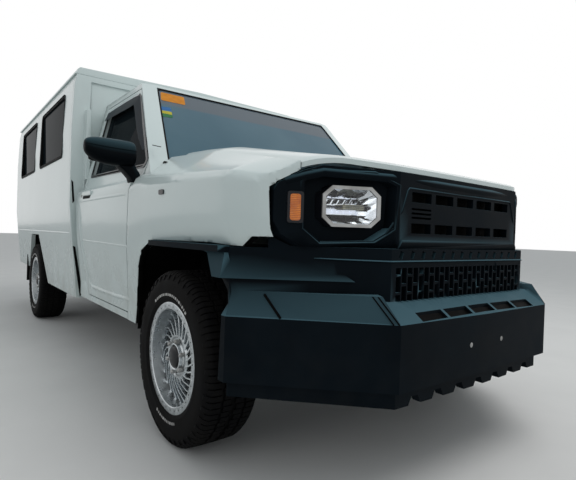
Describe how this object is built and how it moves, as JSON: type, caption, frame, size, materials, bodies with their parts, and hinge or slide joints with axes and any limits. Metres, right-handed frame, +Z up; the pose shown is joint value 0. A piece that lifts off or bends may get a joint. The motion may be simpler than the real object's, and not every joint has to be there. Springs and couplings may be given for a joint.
{
  "type": "light utility vehicle",
  "caption": "Two-door utility vehicle: bonneted cab with black grille and deep bumper, tall windowed passenger body with rear doors, ladder frame and steered front wheels.",
  "frame": {"origin": "on the ground under the middle of the length and width", "axes": "+X to the vehicle's left, +Y to its rear, +Z up; the front faces -Y"},
  "size_m": [2.206, 5.12, 1.9379],
  "materials": {
    "body_paint": "gloss white paint",
    "black_plastic": "satin black",
    "tinted_glass": "tinted, clear",
    "chassis_black": "satin black paint",
    "clear_lens": "clear",
    "amber_lens": "gloss",
    "red_lens": "gloss",
    "seat_vinyl": "vinyl",
    "bare_iron": "cast",
    "floor_paint": "satin",
    "tyre_rubber": "matt",
    "alloy": "silver paint"
  },
  "bodies": {
    "chassis": {"frame_rails": "chassis_black", "powertrain": "bare_iron", "cab_shell": "body_paint", "cab_roof": "body_paint", "fixed_glass": "tinted_glass", "grille_panel": "black_plastic", "headlamps": "clear_lens", "side_lamps": "amber_lens", "front_bumper": "black_plastic", "cowl": "black_plastic", "dashboard": "black_plastic", "seats": "seat_vinyl", "van_floor": "floor_paint", "van_front_wall": "body_paint", "van_roof": "body_paint", "tail_lamps": "red_lens", "rear_step": "chassis_black", "fuel_tank": "chassis_black", "rear_axle": "chassis_black", "front_arms": "chassis_black", "fender_left": "body_paint", "fender_right": "body_paint", "van_side_left": "body_paint", "van_side_right": "body_paint"},
    "hood": {"hood": "body_paint"},
    "door_left": {"door_left": "body_paint", "door_glass_left": "tinted_glass", "door_mirror_left": "black_plastic"},
    "rear_door_left": {"rear_door_left": "body_paint", "rear_door_glass_left": "tinted_glass"},
    "knuckle_left": {"knuckle_left": "bare_iron"},
    "front_wheel_left": {"front_tyre_left": "tyre_rubber", "front_rim_left": "alloy"},
    "rear_wheel_left": {"rear_tyre_left": "tyre_rubber", "rear_rim_left": "alloy"},
    "door_right": {"door_right": "body_paint", "door_glass_right": "tinted_glass", "door_mirror_right": "black_plastic"},
    "rear_door_right": {"rear_door_right": "body_paint", "rear_door_glass_right": "tinted_glass"},
    "knuckle_right": {"knuckle_right": "bare_iron"},
    "front_wheel_right": {"front_tyre_right": "tyre_rubber", "front_rim_right": "alloy"},
    "rear_wheel_right": {"rear_tyre_right": "tyre_rubber", "rear_rim_right": "alloy"}
  },
  "joints": [
    {"name": "door_left_hinge", "type": "hinge", "parent": "chassis", "child": "door_left", "pos_m": [0.894, -1.248, 1], "axis": [0, 0, -1], "range_deg": [0, 68]},
    {"name": "rear_door_left_hinge", "type": "hinge", "parent": "chassis", "child": "rear_door_left", "pos_m": [0.795, 2.381, 1.2], "axis": [0, 0, -1], "range_deg": [0, 100]},
    {"name": "door_right_hinge", "type": "hinge", "parent": "chassis", "child": "door_right", "pos_m": [-0.894, -1.248, 1], "axis": [0, 0, 1], "range_deg": [0, 68]},
    {"name": "rear_door_right_hinge", "type": "hinge", "parent": "chassis", "child": "rear_door_right", "pos_m": [-0.795, 2.381, 1.2], "axis": [0, 0, 1], "range_deg": [0, 100]},
    {"name": "hood_hinge", "type": "hinge", "parent": "chassis", "child": "hood", "pos_m": [0, -1.387, 1.25], "axis": [-1, 0, 0], "range_deg": [0, 60]},
    {"name": "steer_left", "type": "hinge", "parent": "chassis", "child": "knuckle_left", "pos_m": [0.72, -1.74, 0.343], "axis": [0, 0, 1], "range_deg": [-33, 33]},
    {"name": "front_wheel_left_spin", "type": "hinge", "parent": "knuckle_left", "child": "front_wheel_left", "pos_m": [0.7825, -1.74, 0.343], "axis": [1, 0, 0], "continuous": true},
    {"name": "rear_wheel_left_spin", "type": "hinge", "parent": "chassis", "child": "rear_wheel_left", "pos_m": [0.7825, 1.345, 0.343], "axis": [1, 0, 0], "continuous": true},
    {"name": "steer_right", "type": "hinge", "parent": "chassis", "child": "knuckle_right", "pos_m": [-0.72, -1.74, 0.343], "axis": [0, 0, 1], "range_deg": [-33, 33]},
    {"name": "front_wheel_right_spin", "type": "hinge", "parent": "knuckle_right", "child": "front_wheel_right", "pos_m": [-0.7825, -1.74, 0.343], "axis": [1, 0, 0], "continuous": true},
    {"name": "rear_wheel_right_spin", "type": "hinge", "parent": "chassis", "child": "rear_wheel_right", "pos_m": [-0.7825, 1.345, 0.343], "axis": [1, 0, 0], "continuous": true}
  ],
  "couplings": [
    {"joint": "steer_right", "follows": "steer_left", "ratio": 1}
  ]
}
